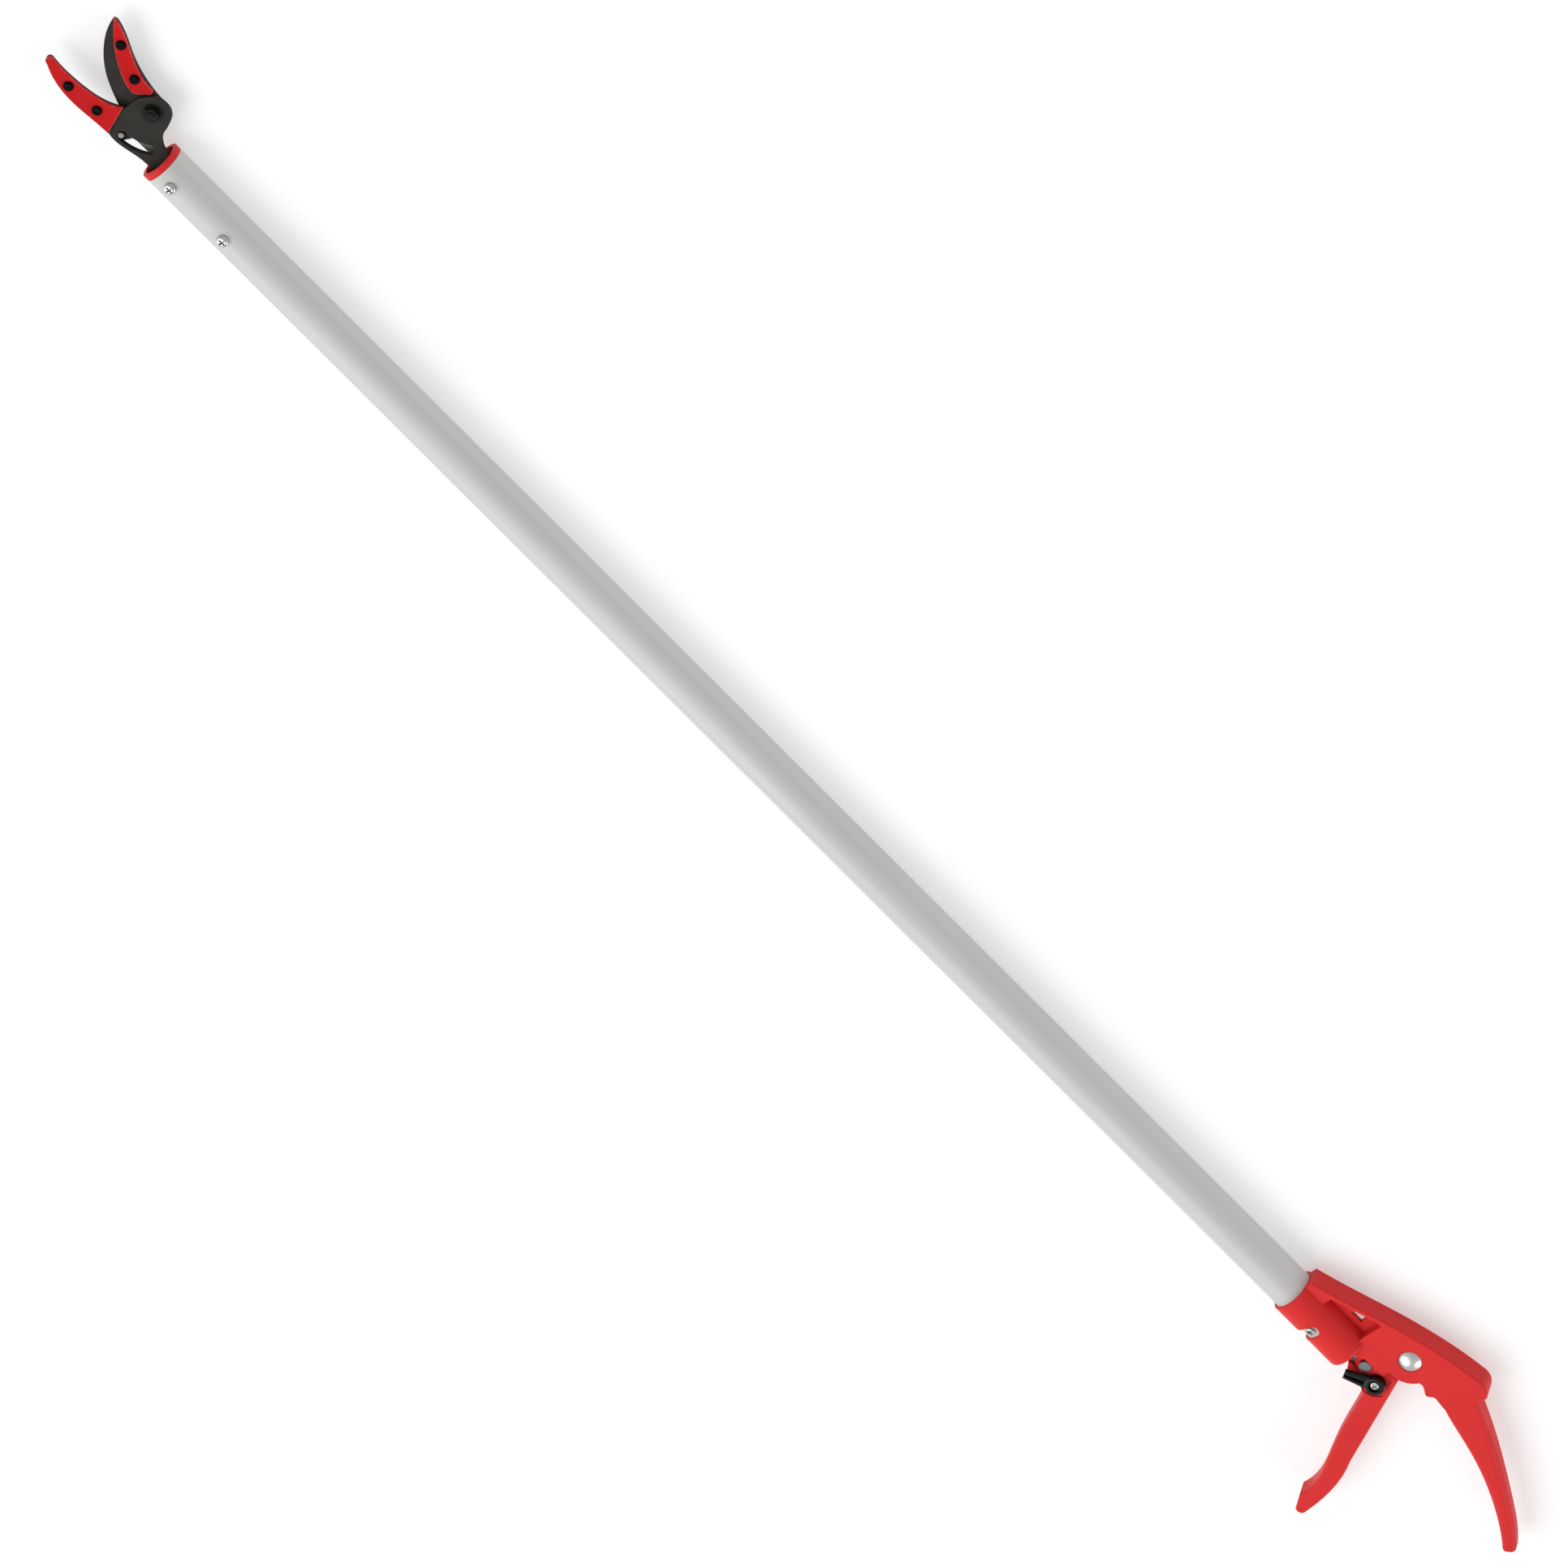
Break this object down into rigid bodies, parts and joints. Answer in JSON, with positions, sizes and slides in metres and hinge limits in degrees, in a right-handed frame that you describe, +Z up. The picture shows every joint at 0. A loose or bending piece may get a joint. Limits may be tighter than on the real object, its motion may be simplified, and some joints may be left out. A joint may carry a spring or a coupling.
{
  "type": "long reach cut and hold pruner",
  "caption": "Long-reach cut-and-hold pruner: slim tube with a hooked jaw and blade worked through a rod by a trigger on an offset grip with a thumb lock.",
  "frame": {"origin": "under the middle of the tool's outer box as it lies on its side, on the surface that it lies on", "axes": "+X along the tube towards the blades, +Y to the trigger side, +Z up, square to the plane in which the blades and the trigger swing"},
  "size_m": [1.2294, 0.1532, 0.0292],
  "materials": {
    "tube_aluminium": "fine satin anodised",
    "red_nylon": "moulded, low sheen",
    "jaw_red": "moulded, matt",
    "coated_steel": "matt dark coating with fine grain",
    "blade_steel": "matt non-stick coating with fine grain",
    "black_screw": "black oxide",
    "pivot_black": "dark phosphate",
    "zinc_steel": "bright zinc plate",
    "chrome_pin": "polished",
    "pin_steel": "plain turned steel",
    "link_steel": "plain stamped steel",
    "rod_steel": "drawn wire",
    "spring_steel": "drawn spring wire",
    "inner_nylon": "moulded, unseen",
    "lock_black": "glossy moulded"
  },
  "bodies": {
    "body": {"tube": "tube_aluminium", "end_collar": "red_nylon", "tang_plug": "inner_nylon", "tube_screws": "zinc_steel", "jaw_body": "coated_steel", "lower_grip_plate": "jaw_red", "lower_plate_screws": "black_screw", "pivot_bolt": "pivot_black", "pivot_nut": "pivot_black", "return_spring": "spring_steel", "rear_bush": "inner_nylon", "handle_body": "red_nylon", "socket_screw": "zinc_steel", "trigger_pin": "chrome_pin", "trigger_pin_cap": "chrome_pin"},
    "trigger": {"trigger_lever": "red_nylon", "rod_pin": "pin_steel", "rod_pin_clip": "pin_steel", "lock_screw": "zinc_steel"},
    "rod": {"pull_rod": "rod_steel", "blade_link": "link_steel", "link_rivet": "pin_steel", "spring_collar": "inner_nylon"},
    "cutter": {"blade": "blade_steel", "upper_grip_plate": "jaw_red", "upper_plate_screws": "black_screw", "tail_pin": "pin_steel"},
    "lock": {"lock_lever": "lock_black"}
  },
  "joints": [
    {"name": "trigger_squeeze", "type": "hinge", "parent": "body", "child": "trigger", "pos_m": [-0.4777, -0.05252, 0.0143], "axis": [0, 0, 1], "range_deg": [0, 36.5], "stiffness_Nm_per_rad": 0.85, "springref_deg": -17.19},
    {"name": "rod_pull", "type": "slide", "parent": "body", "child": "rod", "axis": [-1, 0, 0], "range_m": [0, 0.01695], "deforming": ["return_spring"]},
    {"name": "blade_close", "type": "hinge", "parent": "body", "child": "cutter", "pos_m": [0.5538, -0.04512, 0.0143], "axis": [0, 0, 1], "range_deg": [0, 42]},
    {"name": "lock_turn", "type": "hinge", "parent": "trigger", "child": "lock", "pos_m": [-0.4777, -0.02552, 0.0143], "axis": [0, 0, 1], "range_deg": [0, 165]}
  ],
  "couplings": [
    {"joint": "rod_pull", "follows": "trigger_squeeze", "m_per_rad": 0.026575},
    {"joint": "blade_close", "follows": "trigger_squeeze", "ratio": 1.1506}
  ]
}
